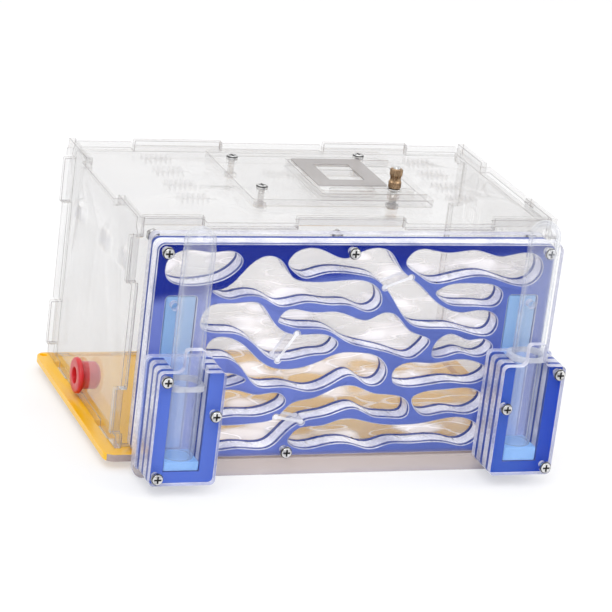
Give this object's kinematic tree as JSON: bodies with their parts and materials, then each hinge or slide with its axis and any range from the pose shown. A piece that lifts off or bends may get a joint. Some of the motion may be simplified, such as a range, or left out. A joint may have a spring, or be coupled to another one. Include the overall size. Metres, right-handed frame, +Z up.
{
  "type": "ant habitat",
  "caption": "Clear finger-jointed ant foraging box on a flat base with a layered gallery nest in front, water tubes, a sliding roof door and a wall plug.",
  "frame": {"origin": "on the table, under the centre of the whole part's footprint", "axes": "+X along the nest's face to the right as seen from the front, +Y from the nest towards the foraging box's back, +Z up"},
  "size_m": [0.194, 0.1448, 0.1167],
  "materials": {
    "clear_acrylic": "polished",
    "blue_acrylic": "polished",
    "yellow_acrylic": "polished",
    "foot_rubber": "matte",
    "grey_frosted": "frosted",
    "steel": "polished",
    "brass": "knurled",
    "pale_sponge": "soft",
    "tube_glass": "clear",
    "clear_silicone": "satin",
    "red_rubber": "satin"
  },
  "bodies": {
    "habitat": {"back_wall": "clear_acrylic", "base_feet": "foot_rubber", "base_plate": "yellow_acrylic", "front_wall": "clear_acrylic", "gallery_gates": "clear_acrylic", "left_moisture_pad": "pale_sponge", "left_tower_back": "clear_acrylic", "left_tower_cover": "clear_acrylic", "left_tower_face_blue": "blue_acrylic", "left_tower_inner_blue": "blue_acrylic", "left_tower_inner_spacer": "clear_acrylic", "left_tower_middle_blue": "blue_acrylic", "left_tower_outer_spacer": "clear_acrylic", "left_tower_screws": "steel", "left_wall": "clear_acrylic", "left_well_sponge": "pale_sponge", "lid_frame": "clear_acrylic", "lid_nuts": "steel", "lid_screws": "steel", "nest_back_plate": "clear_acrylic", "nest_cover": "clear_acrylic", "nest_front_sheet": "blue_acrylic", "nest_gallery_sheet": "clear_acrylic", "nest_nuts": "steel", "nest_rear_sheet": "blue_acrylic", "nest_screws": "steel", "right_moisture_pad": "pale_sponge", "right_tower_back": "clear_acrylic", "right_tower_cover": "clear_acrylic", "right_tower_face_blue": "blue_acrylic", "right_tower_inner_blue": "blue_acrylic", "right_tower_inner_spacer": "clear_acrylic", "right_tower_middle_blue": "blue_acrylic", "right_tower_outer_spacer": "clear_acrylic", "right_tower_screws": "steel", "right_wall": "clear_acrylic", "right_well_sponge": "pale_sponge", "roof_panel": "clear_acrylic", "thumb_screw": "steel"},
    "lid_door": {"lid_door": "clear_acrylic", "door_window_frame": "grey_frosted"},
    "thumb_washer": {"thumb_washer": "steel"},
    "thumb_nut": {"thumb_nut": "brass"},
    "left_tube": {"left_test_tube": "tube_glass", "left_tube_collar": "clear_silicone"},
    "right_tube": {"right_test_tube": "tube_glass", "right_tube_collar": "clear_silicone"},
    "red_plug": {"red_plug": "red_rubber"}
  },
  "joints": [
    {"name": "door_slide", "type": "slide", "parent": "habitat", "child": "lid_door", "axis": [1, 0, 0], "range_m": [0, 0.026]},
    {"name": "thumb_nut_climb", "type": "slide", "parent": "habitat", "child": "thumb_washer", "axis": [0, 0, 1], "range_m": [0, 0.002]},
    {"name": "thumb_nut_turn", "type": "hinge", "parent": "thumb_washer", "child": "thumb_nut", "pos_m": [0.0303, -0.0006, 0.1115], "axis": [0, 0, 1], "range_deg": [0, 1440]},
    {"name": "left_tube_lift", "type": "slide", "parent": "habitat", "child": "left_tube", "axis": [0, 0, 1], "range_m": [0, 0.05]},
    {"name": "right_tube_lift", "type": "slide", "parent": "habitat", "child": "right_tube", "axis": [0, 0, 1], "range_m": [0, 0.05]},
    {"name": "plug_pull", "type": "slide", "parent": "habitat", "child": "red_plug", "axis": [-1, 0, 0], "range_m": [0, 0.012]}
  ],
  "couplings": [
    {"joint": "thumb_nut_turn", "follows": "thumb_nut_climb", "rad_per_m": 12566}
  ]
}
